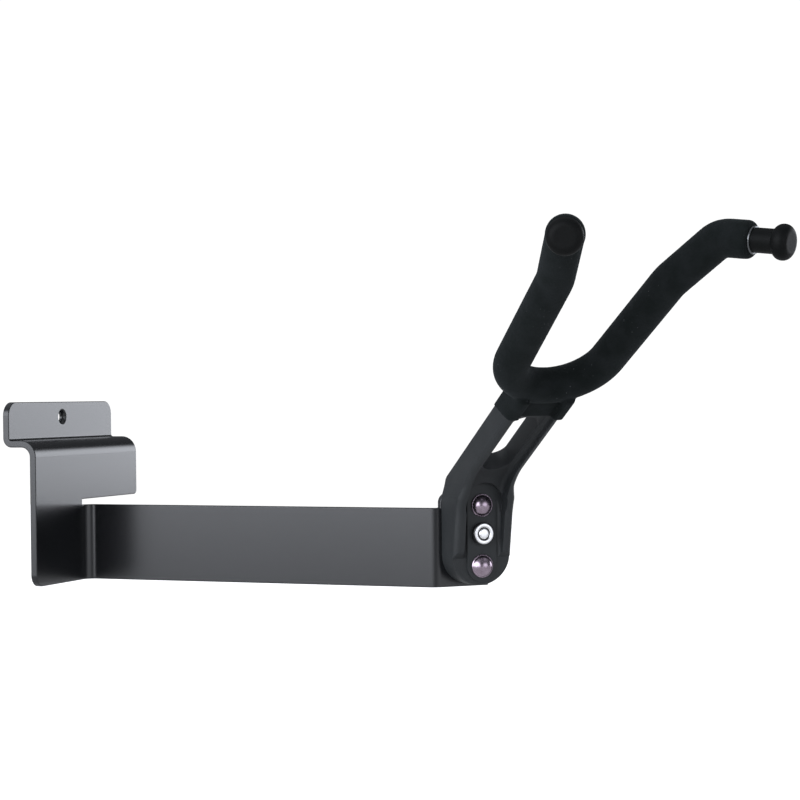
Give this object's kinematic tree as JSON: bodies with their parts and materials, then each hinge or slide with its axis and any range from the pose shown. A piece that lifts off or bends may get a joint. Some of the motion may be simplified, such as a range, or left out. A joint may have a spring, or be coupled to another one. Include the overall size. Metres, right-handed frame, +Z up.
{
  "type": "wall guitar hanger",
  "caption": "Slat-wall guitar hanger: bent sheet-steel hook bracket with a long arm, an angled moulded neck and a flocked U-shaped fork with knobbed tips.",
  "frame": {"origin": "on the wall's surface (back face of the plate), middle of the plate's width, underside of the shelf that passes through the slat's groove", "axes": "+Z up; +Y into the wall; the arm runs to -Y, the front, where the guitar hangs; +X to the right seen from the front"},
  "size_m": [0.2216, 0.4104, 0.17],
  "materials": {
    "bracket_paint": "satin black powder coat",
    "carrier_plastic": "satin moulded, dark grey",
    "fork_rod": "bright drawn",
    "flock": "short black flock on soft foam",
    "knob_plastic": "fine satin black",
    "ring_steel": "black oxide, semi-bright",
    "rivet_steel": "polished nickel",
    "washer_steel": "zinc plated",
    "badge_black": "gloss black",
    "badge_silver": "satin"
  },
  "bodies": {
    "root": {"wall_bracket": "bracket_paint", "carrier": "carrier_plastic", "fork_core": "fork_rod", "fork_coat": "flock", "end_knob_left": "knob_plastic", "end_knob_right": "knob_plastic", "coat_ring_left": "ring_steel", "coat_ring_right": "ring_steel", "rivet_upper": "rivet_steel", "rivet_lower": "rivet_steel", "rivet_washer_upper": "washer_steel", "rivet_washer_lower": "washer_steel", "badge_plug": "badge_black", "badge_disc": "badge_silver"}
  },
  "joints": []
}
